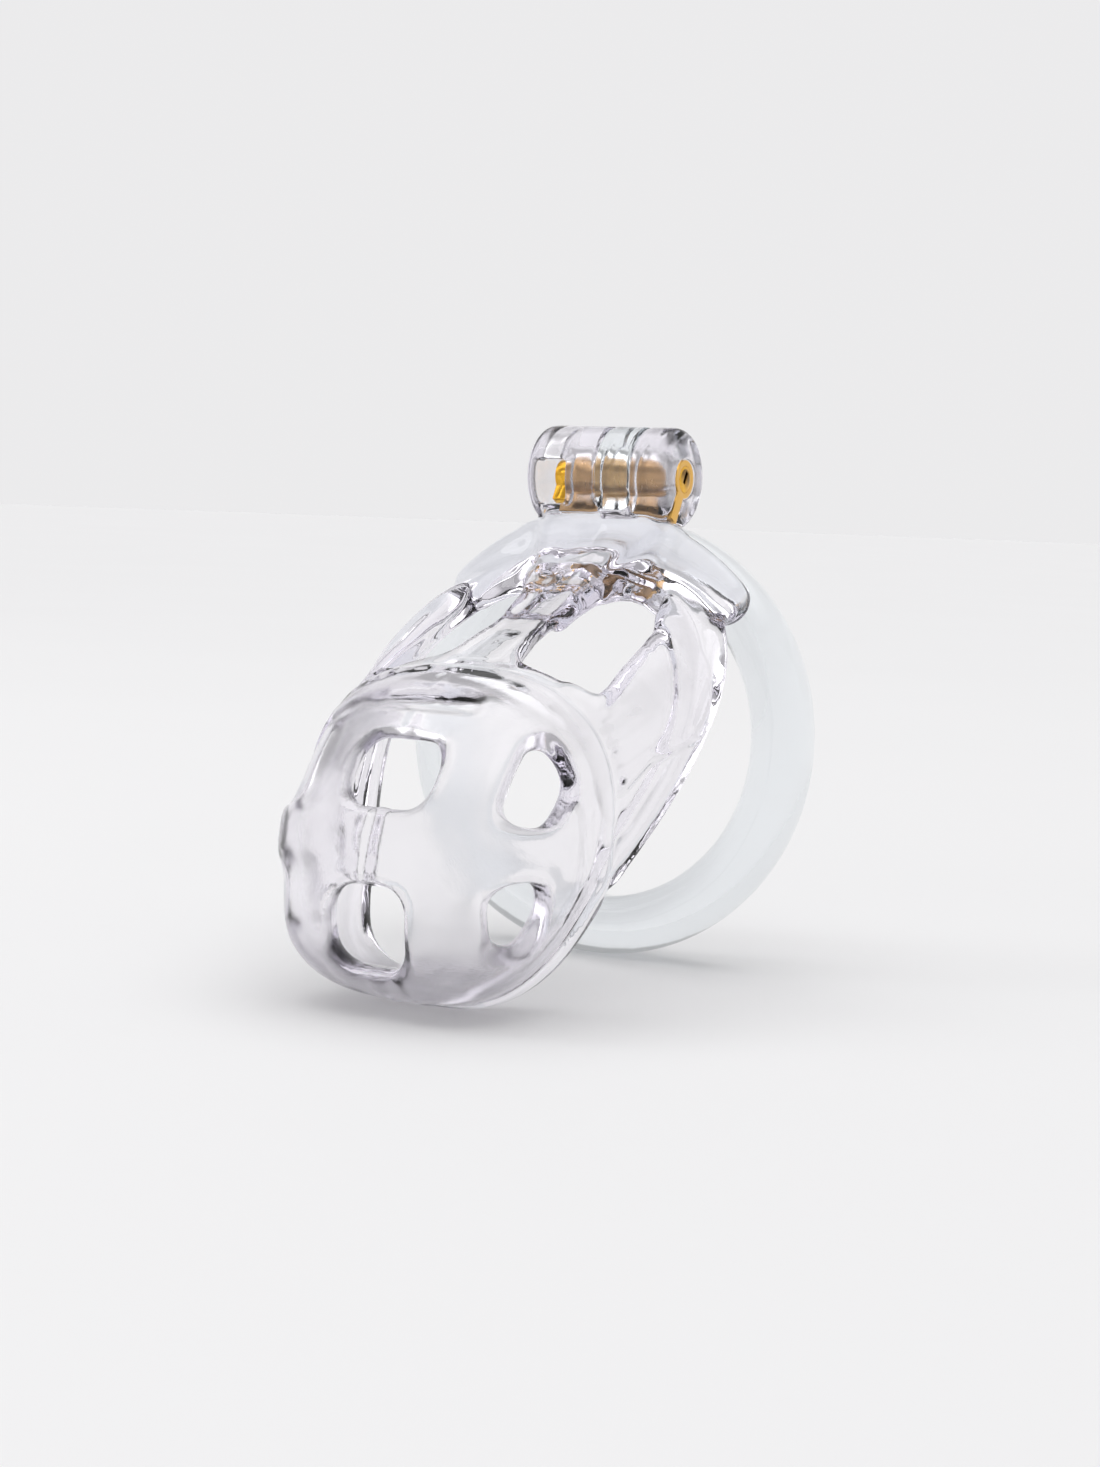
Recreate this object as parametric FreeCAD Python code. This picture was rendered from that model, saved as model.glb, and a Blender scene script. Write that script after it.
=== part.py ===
import FreeCAD, Part
import math
import os

# All sizes in millimetres.  X runs along the lock, -Y points to the closed nose, +Z is up.

# ---- base ring ----
RING_BORE = 50.0                # clear opening of the ring
RING_SECTION_RADIAL = 9.0       # thickness of the ring seen along its axis
RING_SECTION_AXIAL = 10.4       # thickness of the ring along its axis
RING_LAND_DEPTH = 0.4           # how far the rounded section is flattened at the bore
RING_LEAN = 3.6                 # degrees the ring leans back at the top
RING_SINK = 0.2                 # flattening where the ring stands
RING_RADIAL_HALF = (RING_SECTION_RADIAL + RING_LAND_DEPTH) / 2
RING_MEAN = RING_BORE / 2 + RING_SECTION_RADIAL - RING_RADIAL_HALF
RING_HEIGHT = RING_BORE / 2 + RING_SECTION_RADIAL - RING_SINK
RING_GAP = 0.3                  # space between the ring and the tube's saddle
FOOT_TO_MIDDLE = 1.775          # from the middle of the ring's foot back to the ring's centre

# ---- lock housing shared by the tube and the ring ----
HOUSING_Y = -1.0
HOUSING_Z = 73.4
HOUSING_RADIUS = 7.7
HOUSING_HALF = 11.9
HOUSING_ROUND = 2.0
LUG_LEFT = 0.0                  # slot in the housing that takes the ring's lug
LUG_RIGHT = 6.0
LUG_GAP = 0.15
LUG_NECK_HALF = 4.4
LUG_NECK_SHIFT = 2.4            # the lug's neck stands this far behind the housing axis
LUG_SLOT_DEPTH = 30.0
LUG_SLOT_HEIGHT = 23.0
PEDESTAL_LEFT = -8.2
PEDESTAL_RIGHT = 10.9
PEDESTAL_FRONT = -14.6          # front of the pedestal at its foot
PEDESTAL_WAIST = -6.2           # front of the pedestal where it meets the housing
PEDESTAL_WAIST_Z = 66.2
PEDESTAL_FRONT_Z = 57.2
PEDESTAL_BACK = 0.5
PEDESTAL_BACK_Z = 61.6

# ---- tube shell ----
WALL = 3.0
RIM_TOP_Y = -45.0               # rear rim of the nose, top
RIM_TOP_Z = 46.3
RIM_BOTTOM_Y = -38.0            # rear rim of the nose, underside
RIM_BOTTOM_Z = 0.4
RIM_HALF_WIDTH = 22.0
TIP_Y = -68.5                   # front of the nose
TIP_Z = 17.5
REAR_RUN_TOP = 51.0             # how far the full tube runs back from the rim
REAR_RISE_TOP = 20.4
REAR_RUN_BOTTOM = 50.0
REAR_RISE_BOTTOM = 9.0
FLARE = 14.0                    # growth of the half width towards the back
FLARE_EASE = 5.5
SECTION_SQUARENESS_TOP = 2.35   # superellipse exponents
SECTION_SQUARENESS_BOTTOM = 2.8
SECTION_TAPER = 0.17            # how much narrower the section is below than above
NOSE_SQUARENESS_TOP = 1.7
NOSE_SQUARENESS_BOTTOM = 3.4
NOSE_SQUARENESS_SIDE = 3.0
TUBE_STATIONS = 6
NOSE_STATIONS = 7
SECTION_POINTS = 40

# ---- oblique rear opening ----
MOUTH_LEAN = 37.0               # degrees between the opening's plane and the vertical
MOUTH_TOP_Y = -3.0
MOUTH_TOP_Z = 63.0
BAND_WIDTH = 4.0
BAND_PROUD = 0.7                # thickening of the band outside and inside
BIG = 160.0                     # larger than the whole part, for cutting tools
CUT_MARGIN = 1.0                # how far a cutting tool runs past the face it cuts

# ---- collar round the rear rim of the nose ----
COLLAR_WIDTH = 2.4
COLLAR_PROUD = 0.6

# ---- wings that cradle the ring ----
WING_MEAN = 30.2
WING_SECTION = 3.9
WING_FORWARD = 6.2
WING_HALF_ANGLE = 44.5

# ---- windows ----
WINDOW_ROUND = 2.4
UPPER_WINDOW_WIDTH = 13.0
UPPER_WINDOW_BOTTOM = 28.5
UPPER_WINDOW_TOP = 37.0
LOWER_WINDOW_WIDTH = 11.2
LOWER_WINDOW_BOTTOM = 7.2
LOWER_WINDOW_TOP = 18.5
WINDOW_FRONT_START = -80.0
WINDOW_FRONT_END = -50.0
SIDE_WINDOW_START = 15.3        # the side windows cut everything outside this X
SIDE_WINDOW_REACH = 30.0
SIDE_WINDOW_FRONT_Y = -72.0
SIDE_UPPER_TOP_Z = 38.8
SIDE_UPPER_WAIST_Z = 32.0
SIDE_UPPER_BOTTOM_Z = 26.8
SIDE_UPPER_BACK_TOP_Y = -50.4
SIDE_UPPER_BACK_WAIST_Y = -50.0
SIDE_UPPER_BACK_BOTTOM_Y = -54.8
SIDE_LOWER_TOP_Z = 19.8
SIDE_LOWER_BOTTOM_Z = 9.4
SIDE_LOWER_BACK_TOP_Y = -54.2
SIDE_LOWER_BACK_BOTTOM_Y = -56.4
SPINE_HALF = 4.2                # half width of the spine between the top windows
SPINE_HALF_FRONT = 5.8
SPINE_HALF_BACK = 8.6
SPINE_STRAIGHT_FRONT = -30.0
SPINE_STRAIGHT_BACK = -20.5
TOP_WINDOW_OUTER = 18.1
TOP_WINDOW_OUTER_BACK = 14.4
TOP_WINDOW_SHOULDER = -16.8
TOP_WINDOW_FRONT = -40.4
TOP_WINDOW_BACK = -11.4
TOP_WINDOW_FLOOR = 36.0
TOP_WINDOW_HEIGHT = 40.0

# ---- barrel lock ----
FIN_LEAN = 29.0                 # degrees the pin fin leans forward from straight down
BARREL_RADIUS = 2.9
BARREL_LEFT = -6.6
BARREL_RIGHT = HOUSING_HALF
FIN_THICKNESS = 2.0
FIN_REACH = 7.1
LOCK_FIT = 0.08                 # running fit of the lock in the housing
PLUG_RADIUS = 2.0
PLUG_FIT = 0.05
KEYWAY_WIDTH = 0.8
KEYWAY_ABOVE = 1.25
KEYWAY_BELOW = 0.75
KEYWAY_DEPTH = 15.5
TAIL_RADIUS = 1.2
TAIL_FLAT = 0.85
CAM_THICKNESS = 2.4
CAM_GAP = 0.15
CAM_HUB = 2.4
CAM_REACH = 4.6
CAM_LOBE_WIDTH = 1.9
SCREW_HEAD_RADIUS = 1.0
SCREW_HEAD_HEIGHT = 0.6
SCREW_SHANK_RADIUS = 0.5
SCREW_SHANK_LENGTH = 2.6
SCREW_SLOT = 0.3
CAVITY_RADIUS = 5.0
CAVITY_CLEAR = 0.25
CAVITY_WINDOW_RIGHT = -4.8      # the open front of the cam's cavity
CAVITY_WINDOW_LOW = 68.8
CAVITY_WINDOW_HEIGHT = 7.0

# ---- pin stacks ----
PIN_COUNT = 4
PIN_FIRST = 8.9
PIN_PITCH = 3.1
PIN_RADIUS = 0.46
PIN_FIT = 0.07
SHEAR_GAP = 0.03
KEY_PIN_LENGTH = 1.0
KEY_PIN_STEP = 0.1              # difference between one cut of the key and the next
KEY_PIN_SIZES = 3
DRIVER_LENGTH = 1.5
SPRING_RADIUS = 0.36
SPRING_WIRE = 0.07
SPRING_TURNS = 7
COVER_THICKNESS = 0.35
COVER_WIDTH = 1.3
COVER_MARGIN = 1.0

PARALLEL_TOLERANCE = 0.001
X_AXIS = FreeCAD.Vector(1, 0, 0)
Y_AXIS = FreeCAD.Vector(0, 1, 0)
Z_AXIS = FreeCAD.Vector(0, 0, 1)
ORIGIN = FreeCAD.Vector(0, 0, 0)


def signed_power(value, exponent):
    return math.copysign(abs(value) ** exponent, value)


def super_arc(fraction, exponent):
    return (1 - fraction ** exponent) ** (1 / exponent)


def tube_station(back, grow):
    """Top point, bottom point, half width of a section a fraction back from the nose's rim."""
    top_y = RIM_TOP_Y + back * REAR_RUN_TOP
    top_z = RIM_TOP_Z + back * REAR_RISE_TOP + grow
    bottom_y = RIM_BOTTOM_Y + back * REAR_RUN_BOTTOM
    bottom_z = RIM_BOTTOM_Z + back * REAR_RISE_BOTTOM - grow
    half = RIM_HALF_WIDTH + back * FLARE - back * back * FLARE_EASE + grow
    return top_y, top_z, bottom_y, bottom_z, half, SECTION_TAPER


def nose_station(ahead, grow):
    """Top point, bottom point, half width of a section a fraction ahead of the nose's rim."""
    tip_y = TIP_Y - grow
    rise_top = RIM_TOP_Z + grow - TIP_Z
    rise_bottom = TIP_Z - RIM_BOTTOM_Z * (1 - ahead) + grow
    top_y = RIM_TOP_Y + (tip_y - RIM_TOP_Y) * ahead
    top_z = TIP_Z + rise_top * super_arc(ahead, NOSE_SQUARENESS_TOP)
    bottom_y = RIM_BOTTOM_Y + (tip_y - RIM_BOTTOM_Y) * ahead
    bottom_z = TIP_Z - rise_bottom * super_arc(ahead, NOSE_SQUARENESS_BOTTOM)
    half = (RIM_HALF_WIDTH + grow) * super_arc(ahead, NOSE_SQUARENESS_SIDE)
    return top_y, top_z, bottom_y, bottom_z, half, SECTION_TAPER * (1 - ahead)


def section_wire(station):
    top_y, top_z, bottom_y, bottom_z, half, taper = station
    points = []
    for index in range(SECTION_POINTS):
        angle = 2 * math.pi * index / SECTION_POINTS
        square = SECTION_SQUARENESS_TOP
        if math.sin(angle) < 0:
            square = SECTION_SQUARENESS_BOTTOM
        lift = signed_power(math.sin(angle), 2 / square)
        side = signed_power(math.cos(angle), 2 / square)
        x = half * side * (1 + taper * lift)
        y = (top_y + bottom_y) / 2 + lift * (top_y - bottom_y) / 2
        z = (top_z + bottom_z) / 2 + lift * (top_z - bottom_z) / 2
        points.append(FreeCAD.Vector(x, y, z))
    curve = Part.BSplineCurve()
    curve.interpolate(points, PeriodicFlag=True)
    return Part.Wire([curve.toShape()])


def body_of_tube(grow):
    """The tube and nose as one solid, its skin moved out by grow."""
    profile = []
    for index in range(TUBE_STATIONS, 0, -1):
        profile.append(section_wire(tube_station(index / TUBE_STATIONS, grow)))
    for index in range(NOSE_STATIONS):
        ahead = math.sin(math.pi / 2 * index / NOSE_STATIONS)
        profile.append(section_wire(nose_station(ahead, grow)))
    profile.append(Part.Vertex(FreeCAD.Vector(0, TIP_Y - grow, TIP_Z)))
    return Part.makeLoft(profile, True, False)


def slab_through(top_y, top_z, lean, start, thickness):
    """A slab whose rear face lies start ahead of the leaning plane through the given point."""
    slab = Part.makeBox(BIG, thickness, BIG)
    slab.translate(FreeCAD.Vector(-BIG / 2, -start - thickness, -BIG / 2))
    slab.rotate(ORIGIN, X_AXIS, -lean)
    slab.translate(FreeCAD.Vector(0, top_y, top_z))
    return slab


def mouth_slab(start, thickness):
    """A slab parallel to the rear opening."""
    return slab_through(MOUTH_TOP_Y, MOUTH_TOP_Z, MOUTH_LEAN, start, thickness)


def rim_slab(start, thickness):
    """A slab parallel to the rear rim of the nose."""
    lean = math.degrees(math.atan2(RIM_TOP_Y - RIM_BOTTOM_Y, RIM_TOP_Z - RIM_BOTTOM_Z))
    return slab_through(RIM_TOP_Y, RIM_TOP_Z, lean, start, thickness)


def rounded_prism(corners, direction, radius):
    """A prism on a polygon whose edges along the prism are rounded."""
    wire = Part.makePolygon(corners + [corners[0]])
    prism = Part.Face(wire).extrude(direction)
    unit = FreeCAD.Vector(direction)
    unit.normalize()
    along = []
    for edge in prism.Edges:
        tangent = edge.tangentAt(edge.FirstParameter)
        if abs(abs(tangent.dot(unit)) - 1) < PARALLEL_TOLERANCE:
            along.append(edge)
    return prism.makeFillet(radius, along)


def lean_with_ring(shape):
    shape.rotate(ORIGIN, X_AXIS, -RING_LEAN)
    shape.translate(FreeCAD.Vector(0, 0, RING_HEIGHT))
    return shape


def ring_body(grow):
    section = Part.Ellipse(ORIGIN, RING_SECTION_AXIAL / 2 + grow, RING_RADIAL_HALF + grow)
    face = Part.Face(Part.Wire([section.toShape()]))
    face.rotate(ORIGIN, Z_AXIS, 90)
    face.translate(FreeCAD.Vector(RING_MEAN, 0, 0))
    ring_solid = face.revolve(ORIGIN, Y_AXIS, 360)
    bore = Part.makeCylinder(RING_BORE / 2, BIG, FreeCAD.Vector(0, -BIG / 2, 0), Y_AXIS)
    return lean_with_ring(ring_solid.cut(bore))


def housing_cylinder(radius, left, right):
    """A cylinder on the housing's axis."""
    return Part.makeCylinder(radius, right - left, FreeCAD.Vector(left, HOUSING_Y, HOUSING_Z), X_AXIS)


def pedestal():
    """The neck that carries the housing on the tube; it flares forward into the spine."""
    corners = [
        FreeCAD.Vector(PEDESTAL_LEFT, PEDESTAL_FRONT, PEDESTAL_FRONT_Z),
        FreeCAD.Vector(PEDESTAL_LEFT, PEDESTAL_WAIST, PEDESTAL_WAIST_Z),
        FreeCAD.Vector(PEDESTAL_LEFT, HOUSING_Y, HOUSING_Z),
        FreeCAD.Vector(PEDESTAL_LEFT, HOUSING_Y + LUG_NECK_HALF, HOUSING_Z),
        FreeCAD.Vector(PEDESTAL_LEFT, PEDESTAL_BACK, PEDESTAL_BACK_Z),
    ]
    outline = Part.makePolygon(corners + [corners[0]])
    return Part.Face(outline).extrude(FreeCAD.Vector(PEDESTAL_RIGHT - PEDESTAL_LEFT, 0, 0))


def place_lock(shape):
    """Turn a piece drawn with its fin straight down and its axis on X into the housing."""
    shape.rotate(ORIGIN, X_AXIS, -FIN_LEAN)
    shape.translate(FreeCAD.Vector(0, HOUSING_Y, HOUSING_Z))
    return shape


def lock_envelope(left, right, gap):
    """The barrel and fin outline grown by gap, used for the lock and for its bore."""
    round_part = Part.makeCylinder(BARREL_RADIUS + gap, right - left, FreeCAD.Vector(left, 0, 0), X_AXIS)
    fin_width = FIN_THICKNESS + 2 * gap
    fin = Part.makeBox(right - left, fin_width, FIN_REACH + gap)
    fin.translate(FreeCAD.Vector(left, -fin_width / 2, -FIN_REACH - gap))
    return round_part.fuse(fin).removeSplitter()


def pin_x(index):
    return PIN_FIRST - index * PIN_PITCH


def pin_cylinder(index, inner, outer, radius):
    """A cylinder reaching from inner to outer distance below the lock axis."""
    return Part.makeCylinder(radius, outer - inner, FreeCAD.Vector(pin_x(index), 0, -outer), Z_AXIS)


def save(shape, name):
    """Write one node, with the frame's origin under the middle of the ring's foot."""
    if len(shape.Solids) == 1:
        shape = shape.Solids[0]
    shape.translated(FreeCAD.Vector(0, FOOT_TO_MIDDLE, 0)).exportStep("parts/" + name + ".step")


os.makedirs("parts", exist_ok=True)

# ---- space for the lock and its cam ----
cavity_left = BARREL_LEFT - CAM_GAP - CAM_THICKNESS - SCREW_HEAD_HEIGHT - CAVITY_CLEAR
lock_space = place_lock(lock_envelope(cavity_left, BARREL_RIGHT + CUT_MARGIN, LOCK_FIT))
cam_cavity = housing_cylinder(CAVITY_RADIUS, cavity_left, BARREL_LEFT)
window_depth = HOUSING_RADIUS + CUT_MARGIN
cavity_window = Part.makeBox(CAVITY_WINDOW_RIGHT - cavity_left, window_depth, CAVITY_WINDOW_HEIGHT)
cavity_window.translate(FreeCAD.Vector(cavity_left, HOUSING_Y - window_depth, CAVITY_WINDOW_LOW))

# ---- base ring with its lug ----
table = Part.makeBox(BIG, BIG, BIG, FreeCAD.Vector(-BIG / 2, -BIG / 2, -BIG))
ring = ring_body(0).cut(table)
ring_crown = RING_HEIGHT + RING_MEAN
lug = housing_cylinder(HOUSING_RADIUS, LUG_LEFT + LUG_GAP, LUG_RIGHT - LUG_GAP)
lug_width = LUG_RIGHT - LUG_LEFT - 2 * LUG_GAP
neck = Part.makeBox(lug_width, 2 * LUG_NECK_HALF, HOUSING_Z - ring_crown)
neck_front = HOUSING_Y + LUG_NECK_SHIFT - LUG_NECK_HALF
neck.translate(FreeCAD.Vector(LUG_LEFT + LUG_GAP, neck_front, ring_crown))
base_ring = ring.fuse([lug, neck]).cut(lock_space).removeSplitter()
save(base_ring, "base_ring")

# ---- cage tube ----
outer = body_of_tube(0)
inner = body_of_tube(-WALL)
behind_mouth = mouth_slab(-BIG, BIG)
shell = outer.cut(inner).cut(behind_mouth)
half_upper = UPPER_WINDOW_WIDTH / 2
half_lower = LOWER_WINDOW_WIDTH / 2
forward = FreeCAD.Vector(0, WINDOW_FRONT_END - WINDOW_FRONT_START, 0)
upper_window = rounded_prism([
    FreeCAD.Vector(-half_upper, WINDOW_FRONT_START, UPPER_WINDOW_BOTTOM),
    FreeCAD.Vector(half_upper, WINDOW_FRONT_START, UPPER_WINDOW_BOTTOM),
    FreeCAD.Vector(half_upper, WINDOW_FRONT_START, UPPER_WINDOW_TOP),
    FreeCAD.Vector(-half_upper, WINDOW_FRONT_START, UPPER_WINDOW_TOP),
], forward, WINDOW_ROUND)
lower_window = rounded_prism([
    FreeCAD.Vector(-half_lower, WINDOW_FRONT_START, LOWER_WINDOW_BOTTOM),
    FreeCAD.Vector(half_lower, WINDOW_FRONT_START, LOWER_WINDOW_BOTTOM),
    FreeCAD.Vector(half_lower, WINDOW_FRONT_START, LOWER_WINDOW_TOP),
    FreeCAD.Vector(-half_lower, WINDOW_FRONT_START, LOWER_WINDOW_TOP),
], forward, WINDOW_ROUND)
shell = shell.cut([upper_window, lower_window])
neck_of_housing = pedestal()
for side in (-1, 1):
    start = side * SIDE_WINDOW_START
    across = FreeCAD.Vector(side * SIDE_WINDOW_REACH, 0, 0)
    side_upper = rounded_prism([
        FreeCAD.Vector(start, SIDE_WINDOW_FRONT_Y, SIDE_UPPER_BOTTOM_Z),
        FreeCAD.Vector(start, SIDE_WINDOW_FRONT_Y, SIDE_UPPER_TOP_Z),
        FreeCAD.Vector(start, SIDE_UPPER_BACK_TOP_Y, SIDE_UPPER_TOP_Z),
        FreeCAD.Vector(start, SIDE_UPPER_BACK_WAIST_Y, SIDE_UPPER_WAIST_Z),
        FreeCAD.Vector(start, SIDE_UPPER_BACK_BOTTOM_Y, SIDE_UPPER_BOTTOM_Z),
    ], across, WINDOW_ROUND)
    side_lower = rounded_prism([
        FreeCAD.Vector(start, SIDE_WINDOW_FRONT_Y, SIDE_LOWER_BOTTOM_Z),
        FreeCAD.Vector(start, SIDE_WINDOW_FRONT_Y, SIDE_LOWER_TOP_Z),
        FreeCAD.Vector(start, SIDE_LOWER_BACK_TOP_Y, SIDE_LOWER_TOP_Z),
        FreeCAD.Vector(start, SIDE_LOWER_BACK_BOTTOM_Y, SIDE_LOWER_BOTTOM_Z),
    ], across, WINDOW_ROUND)
    top_window = rounded_prism([
        FreeCAD.Vector(side * SPINE_HALF_FRONT, TOP_WINDOW_FRONT, TOP_WINDOW_FLOOR),
        FreeCAD.Vector(side * TOP_WINDOW_OUTER, TOP_WINDOW_FRONT, TOP_WINDOW_FLOOR),
        FreeCAD.Vector(side * TOP_WINDOW_OUTER, TOP_WINDOW_SHOULDER, TOP_WINDOW_FLOOR),
        FreeCAD.Vector(side * TOP_WINDOW_OUTER_BACK, TOP_WINDOW_BACK, TOP_WINDOW_FLOOR),
        FreeCAD.Vector(side * SPINE_HALF_BACK, TOP_WINDOW_BACK, TOP_WINDOW_FLOOR),
        FreeCAD.Vector(side * SPINE_HALF, SPINE_STRAIGHT_BACK, TOP_WINDOW_FLOOR),
        FreeCAD.Vector(side * SPINE_HALF, SPINE_STRAIGHT_FRONT, TOP_WINDOW_FLOOR),
    ], FreeCAD.Vector(0, 0, TOP_WINDOW_HEIGHT), WINDOW_ROUND)
    shell = shell.cut([side_upper, side_lower, top_window])
    neck_of_housing = neck_of_housing.cut(top_window)
band = body_of_tube(BAND_PROUD).cut(body_of_tube(-WALL - BAND_PROUD)).common(mouth_slab(0, BAND_WIDTH))
collar = body_of_tube(COLLAR_PROUD).cut(body_of_tube(-WALL / 2)).common(rim_slab(0, COLLAR_WIDTH))
collar = collar.cut(behind_mouth)
wing_circle = Part.Circle(FreeCAD.Vector(0, -WING_FORWARD, WING_MEAN), X_AXIS, WING_SECTION)
wing = Part.Face(Part.Wire([wing_circle.toShape()]))
wing.rotate(ORIGIN, Y_AXIS, -WING_HALF_ANGLE)
wing = wing.revolve(ORIGIN, Y_AXIS, 2 * WING_HALF_ANGLE)
wing_ends = []
for side in (-1, 1):
    turn = math.radians(side * WING_HALF_ANGLE)
    end = FreeCAD.Vector(WING_MEAN * math.sin(turn), -WING_FORWARD, WING_MEAN * math.cos(turn))
    wing_ends.append(Part.makeSphere(WING_SECTION, end))
wings = lean_with_ring(wing.fuse(wing_ends))
knuckles = housing_cylinder(HOUSING_RADIUS, -HOUSING_HALF, HOUSING_HALF)
knuckles = knuckles.makeFillet(HOUSING_ROUND, [edge for edge in knuckles.Edges if edge.Closed])
lug_slot = Part.makeBox(LUG_RIGHT - LUG_LEFT, LUG_SLOT_DEPTH, LUG_SLOT_HEIGHT)
lug_slot.translate(FreeCAD.Vector(LUG_LEFT, neck_front - RING_GAP, ring_crown))
lug_gap = housing_cylinder(HOUSING_RADIUS + RING_GAP, LUG_LEFT, LUG_RIGHT)
cage_tube = shell.fuse([band, collar, wings, knuckles, neck_of_housing])
for tool in (ring_body(RING_GAP), lug_slot, lug_gap, lock_space, cam_cavity, cavity_window, table):
    cage_tube = cage_tube.cut(tool)
cage_tube = cage_tube.removeSplitter()
save(cage_tube, "cage_tube")

# ---- lock barrel ----
barrel = lock_envelope(BARREL_LEFT, BARREL_RIGHT, 0)
plug_length = BARREL_RIGHT - BARREL_LEFT
plug_bore = Part.makeCylinder(PLUG_RADIUS + PLUG_FIT, plug_length, FreeCAD.Vector(BARREL_LEFT, 0, 0), X_AXIS)
barrel = barrel.cut(plug_bore)
chamber_end = FIN_REACH - COVER_THICKNESS
for index in range(PIN_COUNT):
    barrel = barrel.cut(pin_cylinder(index, 0, FIN_REACH, PIN_RADIUS + PIN_FIT))
cover_left = pin_x(PIN_COUNT - 1) - COVER_MARGIN
cover_length = pin_x(0) + COVER_MARGIN - cover_left
cover = Part.makeBox(cover_length, COVER_WIDTH, COVER_THICKNESS)
cover.translate(FreeCAD.Vector(cover_left, -COVER_WIDTH / 2, -FIN_REACH))
barrel = barrel.cut(cover)
save(place_lock(barrel), "lock_barrel")
save(place_lock(cover), "spring_cover")

# ---- plug, cam and cam screw ----
plug = Part.makeCylinder(PLUG_RADIUS, plug_length, FreeCAD.Vector(BARREL_LEFT, 0, 0), X_AXIS)
tail_length = CAM_GAP + CAM_THICKNESS
tail_left = BARREL_LEFT - tail_length
tail = Part.makeCylinder(TAIL_RADIUS, tail_length, FreeCAD.Vector(tail_left, 0, 0), X_AXIS)
tail_block = Part.makeBox(tail_length, 2 * TAIL_FLAT, 2 * TAIL_RADIUS)
tail_block.translate(FreeCAD.Vector(tail_left, -TAIL_FLAT, -TAIL_RADIUS))
tail = tail.common(tail_block)
keyway = Part.makeBox(KEYWAY_DEPTH, KEYWAY_WIDTH, KEYWAY_ABOVE + KEYWAY_BELOW)
keyway.translate(FreeCAD.Vector(BARREL_RIGHT - KEYWAY_DEPTH, -KEYWAY_WIDTH / 2, -KEYWAY_BELOW))
shank = Part.makeCylinder(SCREW_SHANK_RADIUS, SCREW_SHANK_LENGTH, FreeCAD.Vector(tail_left, 0, 0), X_AXIS)
plug = plug.fuse(tail).cut([keyway, shank])
for index in range(PIN_COUNT):
    plug = plug.cut(pin_cylinder(index, 0, PLUG_RADIUS, PIN_RADIUS + PIN_FIT))
save(place_lock(plug), "lock_plug")

cam = Part.makeCylinder(CAM_HUB, CAM_THICKNESS, FreeCAD.Vector(tail_left, 0, 0), X_AXIS)
lobe = Part.makeBox(CAM_THICKNESS, CAM_LOBE_WIDTH, CAM_REACH)
lobe.translate(FreeCAD.Vector(tail_left, -CAM_LOBE_WIDTH / 2, -CAM_REACH))
cam = cam.fuse(lobe).cut(tail).removeSplitter()
save(place_lock(cam), "lock_cam")

head_left = tail_left - SCREW_HEAD_HEIGHT
screw = Part.makeCylinder(SCREW_HEAD_RADIUS, SCREW_HEAD_HEIGHT, FreeCAD.Vector(head_left, 0, 0), X_AXIS)
slot = Part.makeBox(SCREW_SLOT, SCREW_SLOT, 2 * SCREW_HEAD_RADIUS)
slot.translate(FreeCAD.Vector(head_left, -SCREW_SLOT / 2, -SCREW_HEAD_RADIUS))
save(place_lock(screw.fuse(shank).cut(slot).removeSplitter()), "cam_screw")

# ---- pins and springs ----
driver_inner = PLUG_RADIUS + PLUG_FIT + SHEAR_GAP
spring_inner = driver_inner + DRIVER_LENGTH
spring_length = chamber_end - spring_inner
for index in range(PIN_COUNT):
    number = str(index + 1)
    key_pin_length = KEY_PIN_LENGTH + KEY_PIN_STEP * (index % KEY_PIN_SIZES)
    key_pin_outer = PLUG_RADIUS - SHEAR_GAP
    key_pin = pin_cylinder(index, key_pin_outer - key_pin_length, key_pin_outer, PIN_RADIUS)
    save(place_lock(key_pin), "key_pin_" + number)
    driver = pin_cylinder(index, driver_inner, driver_inner + DRIVER_LENGTH, PIN_RADIUS)
    save(place_lock(driver), "driver_pin_" + number)
    coil_length = spring_length - 2 * SPRING_WIRE
    helix = Part.makeHelix(coil_length / SPRING_TURNS, coil_length, SPRING_RADIUS)
    wire_circle = Part.Circle(FreeCAD.Vector(SPRING_RADIUS, 0, 0), Y_AXIS, SPRING_WIRE)
    coil = Part.Wire(helix.Edges).makePipeShell([Part.Wire([wire_circle.toShape()])], True, True)
    coil.translate(FreeCAD.Vector(pin_x(index), 0, -chamber_end + SPRING_WIRE))
    save(place_lock(coil), "pin_spring_" + number)
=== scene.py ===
import math

import bmesh
import bpy
import numpy as np
import openvdb
from mathutils import Matrix, Vector


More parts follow.
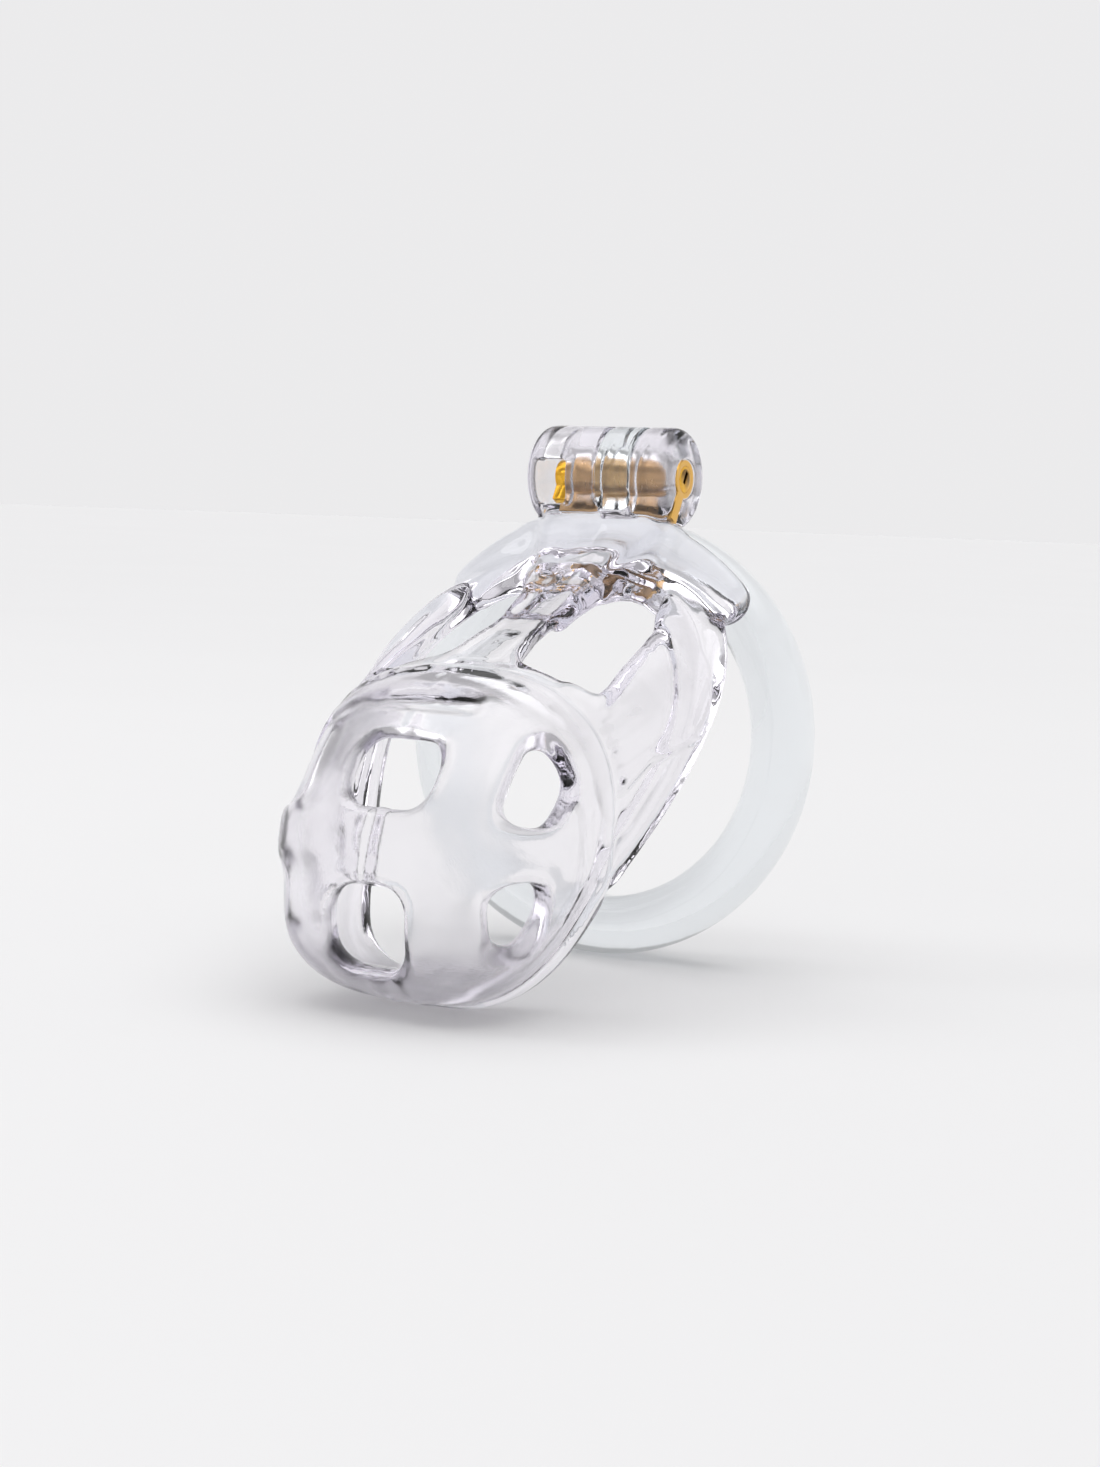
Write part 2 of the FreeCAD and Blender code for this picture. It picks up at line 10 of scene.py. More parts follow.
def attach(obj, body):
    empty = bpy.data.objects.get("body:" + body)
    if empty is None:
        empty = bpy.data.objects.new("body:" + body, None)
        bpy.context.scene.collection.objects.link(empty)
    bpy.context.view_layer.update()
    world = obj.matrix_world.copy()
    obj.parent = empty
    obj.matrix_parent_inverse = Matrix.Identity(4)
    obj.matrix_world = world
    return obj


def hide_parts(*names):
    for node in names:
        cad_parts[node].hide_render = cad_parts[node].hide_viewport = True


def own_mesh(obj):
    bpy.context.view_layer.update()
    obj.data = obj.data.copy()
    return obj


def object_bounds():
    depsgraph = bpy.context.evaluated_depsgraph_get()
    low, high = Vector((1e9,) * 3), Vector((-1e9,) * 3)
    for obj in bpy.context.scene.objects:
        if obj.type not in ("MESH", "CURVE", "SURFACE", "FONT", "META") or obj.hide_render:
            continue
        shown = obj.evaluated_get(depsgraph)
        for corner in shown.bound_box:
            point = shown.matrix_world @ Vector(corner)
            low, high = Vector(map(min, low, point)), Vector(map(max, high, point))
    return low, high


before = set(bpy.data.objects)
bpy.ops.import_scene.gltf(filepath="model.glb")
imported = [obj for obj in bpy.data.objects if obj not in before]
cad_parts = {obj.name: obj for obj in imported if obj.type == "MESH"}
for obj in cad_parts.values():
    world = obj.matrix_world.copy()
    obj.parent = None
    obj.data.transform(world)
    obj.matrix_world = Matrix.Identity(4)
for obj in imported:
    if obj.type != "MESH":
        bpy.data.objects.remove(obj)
cad_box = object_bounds()
MM = 0.001

# The shapes below are written in millimetres, with Y measured from the ring's centre.
FOOT = 1.775                            # from the frame's origin, under the ring's foot, to that centre
HOUSING_Y, HOUSING_Z, HOUSING_RADIUS = -1.0, 73.4, 7.7
PIN_LEAN = math.radians(29.0)           # the lock's pin fin leans forward from straight down
LOCK_END = (11.2, 11.6)                 # X over which the brass turns into its polished end
BORE_SKIN = (5.6, 5.2)                  # distance from the lock's axis where the resin is unpolished
SATIN_SIDES = ((5.5, 7.2), (17.0, 15.0))
SATIN_AHEAD = (-47.0, -52.0)
# Where shade is painted onto the plug: the inside of its key slot (KEYWAY_*) and a dark dish on its face
# (DISH_*)
KEYWAY_SIDE, KEYWAY_RISE, KEYWAY_MIDDLE, KEYWAY_MOUTH = (0.48, 0.43), (1.08, 1.02), 0.25, (11.85, 11.6)
# painted shade: radius and up-down span of the dark dish painted on the plug's face
DISH_EDGE, DISH_SHADE = (1.65, 1.45), (-1.3, 0.4)

# ------------------------------------------------------------------ node helpers


def scaled(colour, factor):
    return tuple(min(1.0, factor * part) for part in colour[:3]) + (1.0,)


class Graph:
    """A short way to write shader nodes."""

    def __init__(self, name):
        self.material = bpy.data.materials.new(name)
        self.material.use_nodes = True
        self.tree = self.material.node_tree
        self.tree.nodes.clear()
        self.output = self.tree.nodes.new("ShaderNodeOutputMaterial")

    def node(self, kind, inputs=None, **settings):
        made = self.tree.nodes.new(kind)
        for key, value in settings.items():
            setattr(made, key, value)
        for key, value in (inputs or {}).items():
            if isinstance(value, bpy.types.NodeSocket):
                self.tree.links.new(value, made.inputs[key])
            else:
                made.inputs[key].default_value = value
        return made

    def math(self, operation, a, b=0.0, clamp=False):
        made = self.node("ShaderNodeMath", {0: a, 1: b}, operation=operation)
        made.use_clamp = clamp
        return made.outputs[0]

    def noise(self, scale, detail=4.0, roughness=0.55, vector=None):
        inputs = {"Scale": scale, "Detail": detail, "Roughness": roughness}
        if vector is not None:
            inputs["Vector"] = vector
        return self.node("ShaderNodeTexNoise", inputs).outputs["Fac"]

    def ramp(self, value, low, high, to_low=0.0, to_high=1.0):
        made = self.node("ShaderNodeMapRange", {0: value, 1: low, 2: high, 3: to_low, 4: to_high})
        return made.outputs[0]

    def mix(self, factor, a, b):
        made = self.node("ShaderNodeMix", data_type="RGBA")
        for socket, value in ((made.inputs[0], factor), (made.inputs[6], a), (made.inputs[7], b)):
            if isinstance(value, bpy.types.NodeSocket):
                self.tree.links.new(value, socket)
            else:
                socket.default_value = value
        return made.outputs[2]

    def bump(self, height, strength, distance, normal=None):
        inputs = {"Height": height, "Strength": strength, "Distance": distance}
        if normal is not None:
            inputs["Normal"] = normal
        return self.node("ShaderNodeBump", inputs).outputs[0]

    def axes(self, vector):
        """X, Y and Z of a place, with Y measured from the ring's centre."""
        x, y, z = self.node("ShaderNodeSeparateXYZ", {0: vector}).outputs
        return x, self.math("SUBTRACT", y, FOOT * MM), z

    def product(self, *values):
        result = values[0]
        for value in values[1:]:
            result = self.math("MULTIPLY", result, value)
        return result

    def ramp_mm(self, value, ends):
        """0 to 1 between two places in millimetres."""
        return self.ramp(value, ends[0] * MM, ends[1] * MM)

    def from_lock(self, y, z):
        """Offsets back and up from the lock's axis, and the distance from it."""
        back = self.math("SUBTRACT", y, HOUSING_Y * MM)
        up = self.math("SUBTRACT", z, HOUSING_Z * MM)
        squares = self.math("ADD", self.product(up, up), self.product(back, back))
        return back, up, self.math("SQRT", squares)

    def finish(self, shader, volume=None):
        self.tree.links.new(shader, self.output.inputs["Surface"])
        if volume is not None:
            self.tree.links.new(volume, self.output.inputs["Volume"])
        return self.material


def clear_resin(name, tint, haze, depth_tint, density, worked):
    """Polished clear moulded resin: flow ripple, a little haze, tint that grows with depth.
    worked adds the satin bands of the nose and the drilled, unpolished bore for the lock."""
    graph = Graph(name)
    place = graph.node("ShaderNodeTexCoord").outputs["Object"]
    ripple = graph.noise(170.0, 3.0, vector=place)
    rough = graph.ramp(graph.noise(420.0, vector=place), 0.35, 0.75, haze * 0.5, haze * 1.6)
    colour = graph.mix(graph.noise(90.0, 2.0, vector=place), tint, scaled(tint, 0.98))
    normal = graph.bump(ripple, 0.12, 0.0006)
    if worked:
        x, y, z = graph.axes(place)
        off_axis = graph.math("ABSOLUTE", x)
        bands = graph.product(*[graph.ramp_mm(off_axis, ends) for ends in SATIN_SIDES])
        satin = graph.product(graph.math("MAXIMUM", bands, 0.3), graph.ramp_mm(y, SATIN_AHEAD))
        bore = graph.ramp_mm(graph.from_lock(y, z)[2], BORE_SKIN)
        grain = graph.noise(5200.0, 2.0, vector=place)
        normal = graph.bump(grain, graph.math("MULTIPLY", satin, 0.5), 0.00005, normal)
        rough = graph.math("ADD", rough, graph.math("MULTIPLY", satin, 0.09))
        rough = graph.math("ADD", rough, graph.math("MULTIPLY", bore, 0.20))
    shader = graph.node("ShaderNodeBsdfPrincipled", {
        "Base Color": colour, "Roughness": rough, "Normal": normal,
        "IOR": 1.47, "Transmission Weight": 1.0,
    })
    volume = graph.node("ShaderNodeVolumeAbsorption", {"Color": depth_tint, "Density": density})
    return graph.finish(shader.outputs[0], volume.outputs[0])


def brass(name, light, dark, roughness, turned, face=None, painted_keyway_shade=False):
    """Turned brass: fine tool rings across X, light and dark patches, brighter edges.
    face gives the polished outer end its own colour; the last flag paints shade onto the plug: the inside of
    the key slot near black, and a dark dish over its face, darker towards its upper side."""
    graph = Graph(name)
    place = graph.node("ShaderNodeTexCoord").outputs["Object"]
    x, y, z = graph.axes(place)
    stretched = graph.node("ShaderNodeCombineXYZ", {0: graph.math("MULTIPLY", x, turned), 1: y, 2: z})
    rings = graph.noise(900.0, 3.0, 0.6, stretched.outputs[0])
    patches = graph.noise(700.0, 3.0, vector=place)
    edge = graph.ramp(graph.node("ShaderNodeNewGeometry").outputs["Pointiness"], 0.50, 0.56)
    colour = graph.mix(graph.ramp(patches, 0.3, 0.7), dark, light)
    outer_end = graph.ramp_mm(x, LOCK_END)
    if face is not None:
        colour = graph.mix(outer_end, colour, face)
    colour = graph.mix(graph.math("MULTIPLY", edge, 0.4), colour, scaled(light, 1.15))
    if painted_keyway_shade:
        back, up, out = graph.from_lock(y, z)
        lean, stand = math.sin(PIN_LEAN), math.cos(PIN_LEAN)
        side = graph.math("SUBTRACT", graph.product(back, stand), graph.product(up, lean))
        rise = graph.math("ADD", graph.product(back, lean), graph.product(up, stand))
        off_middle = graph.math("ABSOLUTE", graph.math("SUBTRACT", rise, KEYWAY_MIDDLE * MM))
        across = graph.ramp_mm(graph.math("ABSOLUTE", side), KEYWAY_SIDE)
        # painted shade: mask of the key slot's inside, painted near black below
        inside = graph.product(across, graph.ramp_mm(off_middle, KEYWAY_RISE), graph.ramp_mm(x, KEYWAY_MOUTH))
        # painted shade: a dark dish over the plug's face, darker towards its upper side
        painted_dish_shade = graph.product(graph.ramp_mm(out, DISH_EDGE), graph.ramp_mm(rise, DISH_SHADE), outer_end, 0.85)
        colour = graph.mix(painted_dish_shade, colour, (0.12, 0.06, 0.012, 1.0))
        colour = graph.mix(inside, colour, (0.03, 0.018, 0.006, 1.0))
    rough = graph.ramp(rings, 0.2, 0.8, roughness * 0.7, roughness * 1.5)
    normal = graph.bump(rings, 0.25, 0.00002)
    shader = graph.node("ShaderNodeBsdfPrincipled", {
        "Base Color": colour, "Roughness": rough, "Normal": normal, "Metallic": 1.0,
    })
    return graph.finish(shader.outputs[0])


def steel(name):
    graph = Graph(name)
    streak = graph.noise(1500.0, 3.0)
    colour = graph.mix(streak, (0.5, 0.5, 0.52, 1.0), (0.72, 0.72, 0.74, 1.0))
    rough = graph.ramp(streak, 0.3, 0.7, 0.2, 0.4)
    shader = graph.node("ShaderNodeBsdfPrincipled", {
        "Base Color": colour, "Roughness": rough, "Metallic": 1.0,
        "Normal": graph.bump(streak, 0.2, 0.00001),
    })
    return graph.finish(shader.outputs[0])


def floor_paint(name):
    graph = Graph(name)
    fine = graph.noise(60.0, 4.0)
    colour = graph.mix(fine, (0.83, 0.83, 0.83, 1.0), (0.85, 0.85, 0.85, 1.0))
    shader = graph.node("ShaderNodeBsdfPrincipled", {
        "Base Color": colour, "Roughness": 0.9, "Specular IOR Level": 0.1,
        "Normal": graph.bump(fine, 0.05, 0.0005),
    })
    return graph.finish(shader.outputs[0])


CLEAR = clear_resin("clear_resin_look", (0.995, 0.99, 1.0, 1.0), 0.025, (0.78, 0.73, 0.86, 1.0), 32.0, True)
RING_CLEAR = clear_resin(
    "ring_resin_look", (0.98, 0.99, 0.99, 1.0), 0.07, (0.80, 0.85, 0.90, 1.0), 38.0, False)
GOLD = (0.88, 0.50, 0.06, 1.0)
BRASS_SHELL = brass(
    "brass_shell_look", (0.66, 0.42, 0.20, 1.0), (0.34, 0.21, 0.10, 1.0), 0.30, 6.0, face=GOLD)
# the plug's look carries painted shade in its key slot and on its face
BRASS_PLUG = brass("brass_plug_look", GOLD, (0.60, 0.29, 0.02, 1.0), 0.20, 3.0, painted_keyway_shade=True)
BRASS_PIN = brass("brass_pin_look", (0.85, 0.60, 0.27, 1.0), (0.66, 0.43, 0.18, 1.0), 0.25, 1.0)
STEEL = steel("steel_look")

# ------------------------------------------------------------------ mouldings

VOXEL = 0.3     # mm
BAND = 12                                # voxels of true distance kept each side of a surface
LOW = np.floor(np.array(cad_box[0]) / MM / VOXEL).astype(int) - BAND - 2
HIGH = np.ceil(np.array(cad_box[1]) / MM / VOXEL).astype(int) + BAND + 2
X, Y, Z = np.meshgrid(*[np.arange(a, b, dtype=np.float32) * VOXEL for a, b in zip(LOW, HIGH)],
                      indexing="ij", sparse=True)


def ease(value, low, high):
    """0 below low, 1 above high, smooth between."""
    part = np.clip((value - low) / (high - low), 0, 1)
    return part * part * (3 - 2 * part)


def bump_at(value, centre, width):
    return np.exp(-(((value - centre) / width) ** 2))


def soft_low(a, b, softness):
    """The lower of two fields, their crossing blended over softness millimetres."""
    overlap = np.maximum(softness - np.abs(a - b), 0) / softness
    return np.minimum(a, b) - overlap * overlap * softness / 4


def soft_cut(a, b, softness):
    return -soft_low(-a, b, softness)


def distances(points, triangles=None, quads=None):
    """Signed distance to a closed mesh on the grid, in millimetres."""
    scale = openvdb.createLinearTransform(voxelSize=VOXEL)
    grid = openvdb.FloatGrid.createLevelSetFromPolygons(
        points.astype(np.float32), triangles=triangles, quads=quads, transform=scale, halfWidth=BAND)
    field = np.full(tuple(HIGH - LOW), BAND * VOXEL, np.float32)
    grid.copyToArray(field, ijk=tuple(int(v) for v in LOW))
    return field


def skin(field, level=0.0):
    """Quads on the field's surface."""
    grid = openvdb.FloatGrid(BAND * VOXEL)
    grid.transform = openvdb.createLinearTransform(voxelSize=VOXEL)
    grid.copyFromArray(field, ijk=tuple(int(v) for v in LOW))
    grid.gridClass = openvdb.GridClass.LEVEL_SET
    return grid.convertToQuads(level)


def moved_out(field, distance):
    points, quads = skin(field, distance)
    return distances(points, quads=quads)


def filled_corners(field, radius):
    return moved_out(moved_out(field, radius), -radius)


def rounded_edges(field, radius):
    return moved_out(moved_out(field, -radius), radius)


def settled(field, passes):
    for _ in range(passes):
        for axis in range(3):
            field = 0.5 * field + 0.25 * (np.roll(field, 1, axis) + np.roll(field, -1, axis))
    return field


def cad_field(node):
    """The CAD node as signed distances."""
    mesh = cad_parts[node].data
    mesh.calc_loop_triangles()
    points = np.empty(len(mesh.vertices) * 3, np.float32)
    mesh.vertices.foreach_get("co", points)
    triangles = np.empty(len(mesh.loop_triangles) * 3, np.int32)
    mesh.loop_triangles.foreach_get("vertices", triangles)
    points = points.reshape(-1, 3) / MM - (0, FOOT, 0)
    return distances(points, triangles=triangles.reshape(-1, 3).astype(np.uint32))


def moulded_piece(name, field, material, node):
    points, quads = skin(field)
    mesh = bpy.data.meshes.new(name)
    mesh.vertices.add(len(points))
    mesh.vertices.foreach_set("co", ((points + (0, FOOT, 0)) * MM).astype(np.float32).ravel())
    mesh.loops.add(len(quads) * 4)
    mesh.loops.foreach_set("vertex_index", quads[:, ::-1].astype(np.int32).ravel())
    mesh.polygons.add(len(quads))
    mesh.polygons.foreach_set("loop_start", np.arange(0, len(quads) * 4, 4, dtype=np.int32))
    mesh.polygons.foreach_set("use_smooth", np.ones(len(quads), bool))
    mesh.update(calc_edges=True)
    mesh.validate()
    piece = bpy.data.objects.new(name, mesh)
    bpy.context.scene.collection.objects.link(piece)
    mesh.materials.append(material)
    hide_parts(node)
    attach(piece, "tube_and_ring")
    return piece


# ---- the tube's outer skin as a formula: sections between the nose tip and the wide end ----
RIM_TOP, RIM_BOTTOM, TIP = (-45.0, 46.3), (-38.0, 0.4), (-68.5, 17.5)
REAR_TOP, REAR_BOTTOM = (6.0, 66.7), (12.0, 9.4)
RIM_HALF, FLARE, FLARE_EASE, TAPER = 22.0, 14.0, 5.5, 0.17
ROUND_POINTS = 96


def tube_section(top, bottom, half, taper):
    angle = np.arange(ROUND_POINTS) * 2 * math.pi / ROUND_POINTS
    power = 2 / np.where(np.sin(angle) < 0, 2.8, 2.35)
    lift = np.sign(np.sin(angle)) * np.abs(np.sin(angle)) ** power
    side = np.sign(np.cos(angle)) * np.abs(np.cos(angle)) ** power
    x = half * side * (1 + taper * lift)
    y = (top[0] + bottom[0]) / 2 + lift * (top[0] - bottom[0]) / 2
    z = (top[1] + bottom[1]) / 2 + lift * (top[1] - bottom[1]) / 2
    return np.stack([x, y, z], 1)


def tube_skin():
    rings = []
    for back in np.linspace(1, 0, 16, endpoint=False):
        top = [a + back * (b - a) for a, b in zip(RIM_TOP, REAR_TOP)]
        bottom = [a + back * (b - a) for a, b in zip(RIM_BOTTOM, REAR_BOTTOM)]
        rings.append(tube_section(top, bottom, RIM_HALF + back * FLARE - back * back * FLARE_EASE, TAPER))
    for step in range(28):
        ahead = math.sin(math.pi / 2 * step / 28)
        reach = [(1 - ahead ** n) ** (1 / n) for n in (1.7, 3.4, 3.0)]
        top = (RIM_TOP[0] + (TIP[0] - RIM_TOP[0]) * ahead, TIP[1] + (RIM_TOP[1] - TIP[1]) * reach[0])
        low_rise = TIP[1] - RIM_BOTTOM[1] * (1 - ahead)
        bottom = (RIM_BOTTOM[0] + (TIP[0] - RIM_BOTTOM[0]) * ahead, TIP[1] - low_rise * reach[1])
        rings.append(tube_section(top, bottom, RIM_HALF * reach[2], TAPER * (1 - ahead)))
    points = np.concatenate(rings + [rings[0].mean(0)[None], np.array([[0, TIP[0], TIP[1]]])])
    rear, front = len(points) - 2, len(points) - 1
    triangles = []
    for row in range(len(rings) - 1):
        for k in range(ROUND_POINTS):
            a = row * ROUND_POINTS + k
            b = row * ROUND_POINTS + (k + 1) % ROUND_POINTS
            triangles += [(a, b, b + ROUND_POINTS), (a, b + ROUND_POINTS, a + ROUND_POINTS)]
    last = (len(rings) - 1) * ROUND_POINTS
    for k in range(ROUND_POINTS):
        after = (k + 1) % ROUND_POINTS
        triangles += [(rear, after, k), (front, last + k, last + after)]
    return points, np.array(triangles, np.uint32)


def side_distance(corners):
    """Signed distance in the side view (Y, Z) to a polygon, negative inside."""
    y, z = Y[0], Z[0]
    best = np.full(np.broadcast(y, z).shape, 1e9, np.float32)
    sign = np.ones(best.shape, np.float32)
    for (ay, az), (by, bz) in zip(corners, corners[1:] + corners[:1]):
        ey, ez, wy, wz = by - ay, bz - az, y - ay, z - az
        along = np.clip((wy * ey + wz * ez) / (ey * ey + ez * ez), 0, 1)
        best = np.minimum(best, (wy - ey * along) ** 2 + (wz - ez * along) ** 2)
        crossing = (az <= z) != (bz <= z)
        left = (by - ay) * (z - az) - (bz - az) * wy
        inside = crossing & ((left > 0) == (bz > az))
        sign = np.where(inside, -sign, sign)
    return (sign * np.sqrt(best))[None]


EDGE_ROUND, CORNER_FILL, RING_ROUND = 0.8, 3.0, 0.6
ARCH_STEPS = (2.5, 2.5, -2.5, -2.5)     # grown and shrunk again, which fills hollows tighter than 5 mm
NECK_BLEND, CHANNEL_IN_NECK = 2.5, 0.55
GROOVE_DEPTH, PAD_HEIGHT, BEAD_LOW, BEAD_MORE = 0.5, 0.8, 0.45, 0.65
RIB_PITCH, RIB_DEPTH = 1.7, 0.4
MARK_AT, MARK_RADIUS, MARK_DEPTH = (-26.8, 47.4), 2.6, 0.14
SEAM_HEIGHT, CHANNEL_DEPTH = 0.2, 0.45
BAR_AT, BAR_HALF, BAR_RADIUS = (-55.2, 43.2), 7.0, 2.3
RING_CLEARANCE, FLOOR_CLEARANCE = 0.12, 0.02
SETTLE_HOUSING, SETTLE_BODY = 1, 4

lock_radius = np.sqrt((Y - HOUSING_Y) ** 2 + (Z - HOUSING_Z) ** 2)
low_part = ease(-Z, -67.0, -64.5)                      # 1 below the lock housing, 0 in it


def below_housing(above, below):
    return above * (1 - low_part) + below * low_part


ring = cad_field("base_ring")
ring = below_housing(ring, rounded_edges(ring, RING_ROUND))
ring = below_housing(settled(ring, SETTLE_HOUSING), settled(ring, SETTLE_BODY))

cage = cad_field("cage_tube")
cage = below_housing(cage, rounded_edges(filled_corners(cage, CORNER_FILL), EDGE_ROUND))

body = distances(*tube_skin())
on_outside = ease(body, -2.1, -0.9)
behind_rim = (Y + 45.0) * 0.9886 + (Z - 46.3) * 0.1508  # distance behind the nose's rear rim

# the valley between wings and band fills to one arch, and a neck ramps from under the housing to the spine
NECK = [(-1.0, 72.5), (-6.6, 69.5), (-9.4, 66.2), (-12.4, 62.6), (-17.5, 58.0), (-25.0, 52.8),
        (-24.0, 50.6), (-14.0, 54.8), (-6.0, 60.0), (2.0, 62.0)]
arch = cage
for step in ARCH_STEPS:
    arch = moved_out(arch, step)
arched = ease(Y, -14.5, -11.5) * ease(Z, 38.0, 44.0) * low_part
cage = cage * (1 - arched) + arch * arched
del arch
neck_middle = 1.3 * ease(Z, 58.0, 66.0)
neck_half = 5.0 + 4.5 * ease(Z, 57.0, 65.5)
neck = soft_cut(side_distance(NECK), neck_half - np.abs(X - neck_middle), NECK_BLEND)
neck = neck + CHANNEL_IN_NECK * (1 - ease(np.abs(X - 0.4 * neck_middle), 1.6, 3.4)) * ease(-Z, -67.0, -63.0)
neck = np.maximum(neck, HOUSING_RADIUS - 0.2 - lock_radius)
cage = np.where(lock_radius < HOUSING_RADIUS - 0.2, cage, soft_low(cage, neck, NECK_BLEND))

# groove just behind the collar
cage += GROOVE_DEPTH * bump_at(behind_rim, 1.3, 1.0) * on_outside

# leaf-shaped pads on both cheeks, with a bead along their rear edge and ribs inside them
LEAF = [(-12.5, 60.5), (-16.8, 54.1), (-20.2, 49.1), (-23.4, 42.3), (-26.1, 37.1),
        (-35.7, 34.2), (-43.5, 28.4), (-50.0, 40.0), (-46.0, 62.0)]
leaf = -side_distance(LEAF)
cheek = ease(np.abs(X), 13.0, 16.0) * ease(behind_rim, 1.0, 2.4)
rear_edge = ease(Y + 0.35 * Z, -17.5, -12.0)
pad = PAD_HEIGHT * ease(leaf, -0.8, 0.4)
bead = (BEAD_LOW + BEAD_MORE * rear_edge) * bump_at(leaf, 1.0, 1.0)
cage -= (pad + bead) * cheek * on_outside
across_ribs = 0.93 * Z - 0.37 * Y
ribs = 0.5 + 0.5 * np.cos(2 * math.pi * across_ribs / RIB_PITCH)
rib_zone = ease(leaf, 1.6, 3.2) * cheek * ease(behind_rim, 2.5, 5.0) * (1 - ease(behind_rim, 9.0, 14.0))
cage += RIB_DEPTH * ribs * rib_zone * (1 - on_outside)
mark = np.sqrt((Y - MARK_AT[0]) ** 2 + (Z - MARK_AT[1]) ** 2)       # ejector mark inside each cheek
cage += MARK_DEPTH * bump_at(mark, MARK_RADIUS, 0.35) * cheek * (1 - on_outside)

# seam strip over the nose, scooped bar over the upper window
nose = 1 - ease(behind_rim, -3.0, -1.5)
cage -= SEAM_HEIGHT * (1 - ease(np.abs(X), 0.5, 1.0)) * nose * on_outside
bar_end = np.maximum(np.abs(X) - BAR_HALF, 0)
bar = np.sqrt((Y - BAR_AT[0]) ** 2 + (Z - BAR_AT[1]) ** 2 + bar_end ** 2) - BAR_RADIUS
cage = soft_cut(cage, bar, 1.0)

# spine: a shallow channel between two soft edges
spine = (1 - ease(np.abs(X), 2.6, 4.0)) * ease(behind_rim, 2.0, 5.0) * (1 - ease(behind_rim, 22.0, 30.0))
cage += CHANNEL_DEPTH * spine * on_outside * ease(body, -2.0, -0.5)

cage = soft_cut(cage, ring - RING_CLEARANCE, 0.15)
cage = below_housing(settled(cage, SETTLE_HOUSING), settled(cage, SETTLE_BODY))
cage = np.maximum(cage, FLOOR_CLEARANCE - np.broadcast_to(Z, cage.shape))
ring = np.maximum(ring, FLOOR_CLEARANCE - np.broadcast_to(Z, ring.shape))
moulded_piece("cage_tube_moulded", cage, CLEAR, "cage_tube")
moulded_piece("base_ring_moulded", ring, RING_CLEAR, "base_ring")

# ------------------------------------------------------------------ lock

LOOKS = {
    "lock_barrel": BRASS_SHELL, "spring_cover": BRASS_SHELL,
    "lock_plug": BRASS_PLUG, "lock_cam": BRASS_PLUG, "cam_screw": STEEL,
}
MACHINED = {
    "lock_barrel": "brass_shell", "lock_plug": "brass_plug",
    "lock_cam": "brass_plug", "cam_screw": "steel",
}
BODIES = {"lock_barrel": "lock", "lock_plug": "plug", "lock_cam": "plug", "cam_screw": "plug"}


def machined_copy(node, chamfer):
    """The CAD piece with its edges broken by a small chamfer, as turned brass has."""
    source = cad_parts[node]
    working = bmesh.new()
    working.from_mesh(source.data)
    bmesh.ops.remove_doubles(working, verts=working.verts, dist=1e-7)
    bmesh.ops.dissolve_limit(
        working, angle_limit=math.radians(2.0), verts=working.verts, edges=working.edges)
    sharp = [e for e in working.edges if e.is_manifold and e.calc_face_angle(0.0) > math.radians(40)]
    bmesh.ops.bevel(working, geom=sharp, offset=chamfer * MM, segments=2, affect="EDGES",
                    profile=0.5, clamp_overlap=True, offset_type="OFFSET")
    bmesh.ops.triangulate(working, faces=[f for f in working.faces if len(f.verts) > 4])
    mesh = bpy.data.meshes.new(node + "_machined")
    working.to_mesh(mesh)
    working.free()
    mesh.shade_smooth()
    mesh.set_sharp_from_angle(angle=math.radians(35))
    mesh.materials.append(LOOKS[node])
    piece = bpy.data.objects.new(node + "_machined", mesh)
    bpy.context.scene.collection.objects.link(piece)
    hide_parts(node)
    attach(piece, BODIES[node])


for name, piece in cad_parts.items():
    if name in ("cage_tube", "base_ring"):
        continue
    look = LOOKS.get(name, STEEL if name.startswith("pin_spring") else BRASS_PIN)
    piece.data.materials.clear()
    piece.data.materials.append(look)
for name in MACHINED:
    machined_copy(name, 0.12)

for index in range(1, 5):
    name = f"pin_spring_{index}"
    coil = bpy.data.objects.new(f"{name}_coil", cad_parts[name].data.copy())
    bpy.context.scene.collection.objects.link(coil)
    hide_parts(name)
    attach(coil, "lock")
    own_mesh(coil)

# ------------------------------------------------------------------ stage, light, camera

CAMERA_AT = Vector((168.98, FOOT - 331.42, 70.12)) * MM
AIM_AT = Vector((3.34, FOOT - 25.0, 35.9)) * MM
CAMERA_ROLL = 2.11
FOCAL_PIXELS = 2411.65
FRAME_HEIGHT = 1467
SENSOR = 36.0


def studio_floor():
    """One large pale floor; the studio's light comes from the world around it."""
    reach, steps = 6.0, 96
    rim = [(reach * math.cos(2 * math.pi * k / steps), reach * math.sin(2 * math.pi * k / steps), 0.0)
           for k in range(steps)]
    mesh = bpy.data.meshes.new("floor")
    mesh.from_pydata(rim, [], [list(range(steps))])
    floor = bpy.data.objects.new("floor", mesh)
    bpy.context.scene.collection.objects.link(floor)
    mesh.materials.append(floor_paint("floor_look"))


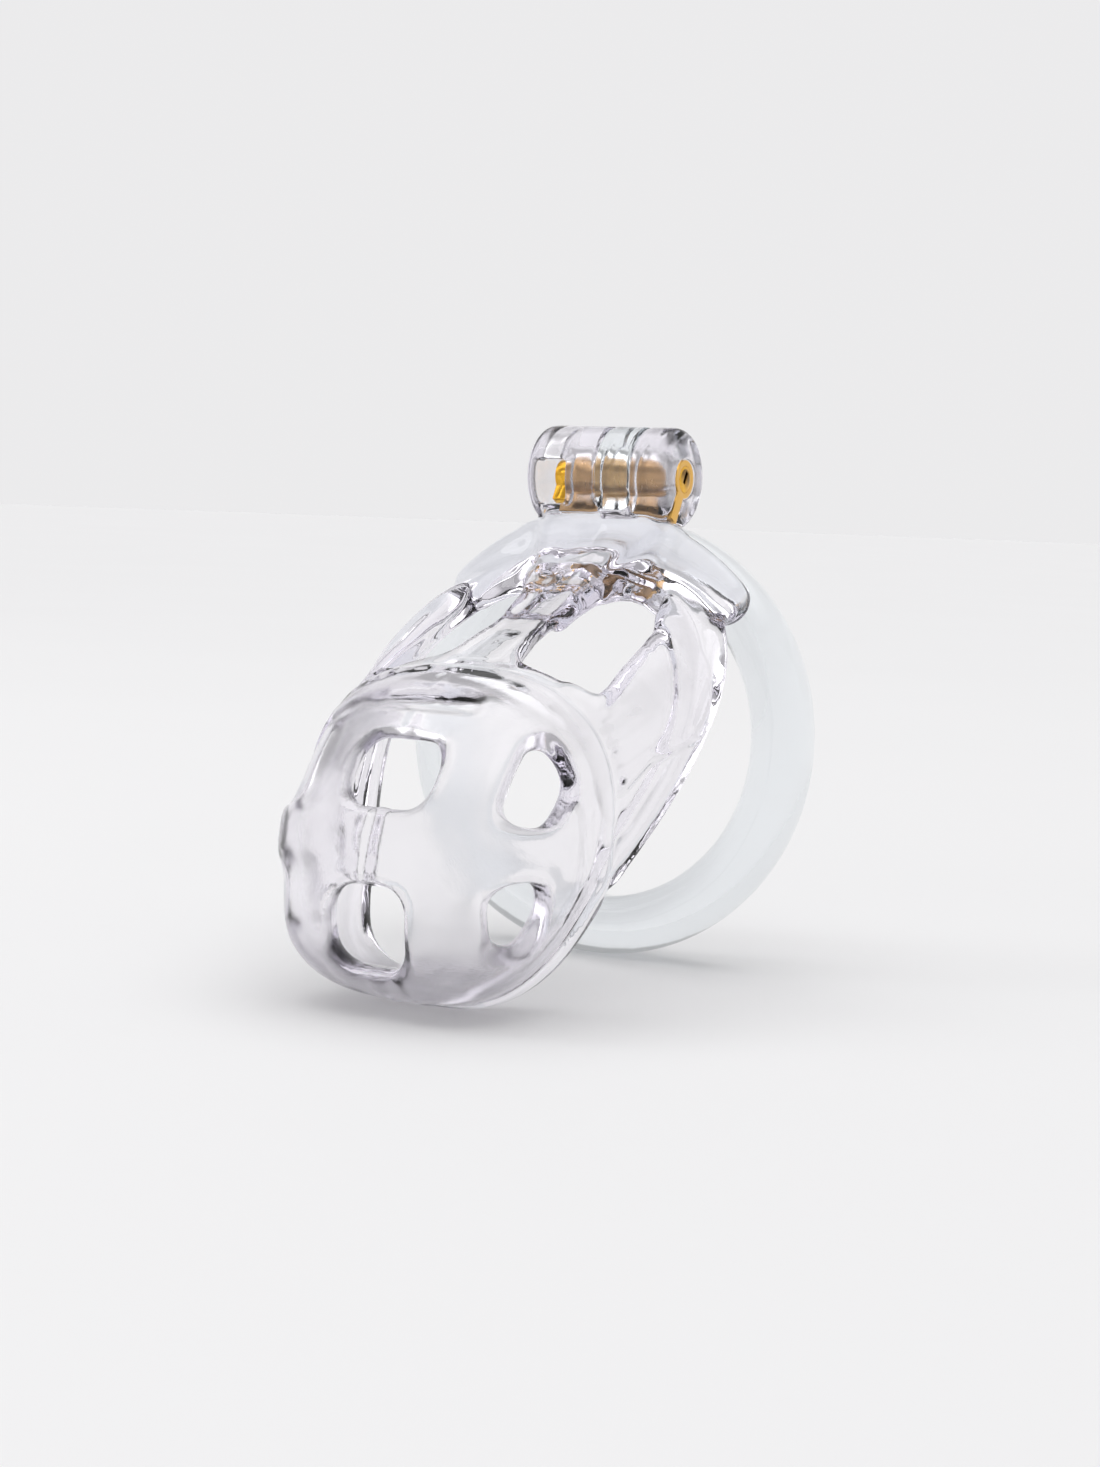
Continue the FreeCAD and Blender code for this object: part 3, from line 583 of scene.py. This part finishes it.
def area_light(name, place, aim, size, power, colour=(1.0, 1.0, 1.0)):
    data = bpy.data.lights.new(name, "AREA")
    data.shape = "RECTANGLE"
    data.size, data.size_y = size
    data.energy = power
    data.color = colour
    light = bpy.data.objects.new(name, data)
    light.location = place
    light.rotation_euler = (Vector(aim) - Vector(place)).to_track_quat("-Z", "Y").to_euler()
    bpy.context.scene.collection.objects.link(light)


def studio_world():
    """Pale walls, a darker band above them and a bright ceiling."""
    world = bpy.data.worlds.new("studio")
    bpy.context.scene.world = world
    world.use_nodes = True
    tree = world.node_tree
    background = tree.nodes["Background"]
    toward = tree.nodes.new("ShaderNodeTexCoord")
    split = tree.nodes.new("ShaderNodeSeparateXYZ")
    ramp = tree.nodes.new("ShaderNodeValToRGB")
    tree.links.new(toward.outputs["Generated"], split.inputs[0])
    tree.links.new(split.outputs[2], ramp.inputs[0])
    tree.links.new(ramp.outputs[0], background.inputs[0])
    stops = [(0.0, WALL_LIGHT), (0.42, WALL_LIGHT), (0.50, BAND_LIGHT), (0.74, BAND_LIGHT), (0.84, 1.0)]
    elements = ramp.color_ramp.elements
    while len(elements) < len(stops):
        elements.new(0.5)
    for element, (at, level) in zip(elements, stops):
        element.position = at
        element.color = (level * 0.995, level * 0.99, level, 1.0)
    background.inputs[1].default_value = CEILING_LIGHT


CEILING_LIGHT = 1.75
WALL_LIGHT = 0.84 / CEILING_LIGHT
BAND_LIGHT = 0.46 / CEILING_LIGHT
studio_floor()
studio_world()
area_light("window_left", (-0.55, -0.30, 0.55), (0, -0.02, 0.04), (0.18, 0.45), 0.5)
bpy.context.scene.view_settings.view_transform = "Standard"

camera_data = bpy.data.cameras.new("camera")
camera_data.sensor_fit = "VERTICAL"
camera_data.sensor_height = SENSOR
camera_data.lens = SENSOR * FOCAL_PIXELS / FRAME_HEIGHT
camera_data.clip_start = 0.01
camera = bpy.data.objects.new("camera", camera_data)
facing = (AIM_AT - CAMERA_AT).to_track_quat("-Z", "Y").to_matrix().to_4x4()
rolled = Matrix.Rotation(math.radians(CAMERA_ROLL), 4, "Z")
camera.matrix_world = Matrix.Translation(CAMERA_AT) @ facing @ rolled
bpy.context.scene.collection.objects.link(camera)
bpy.context.scene.camera = camera

bpy.context.view_layer.update()
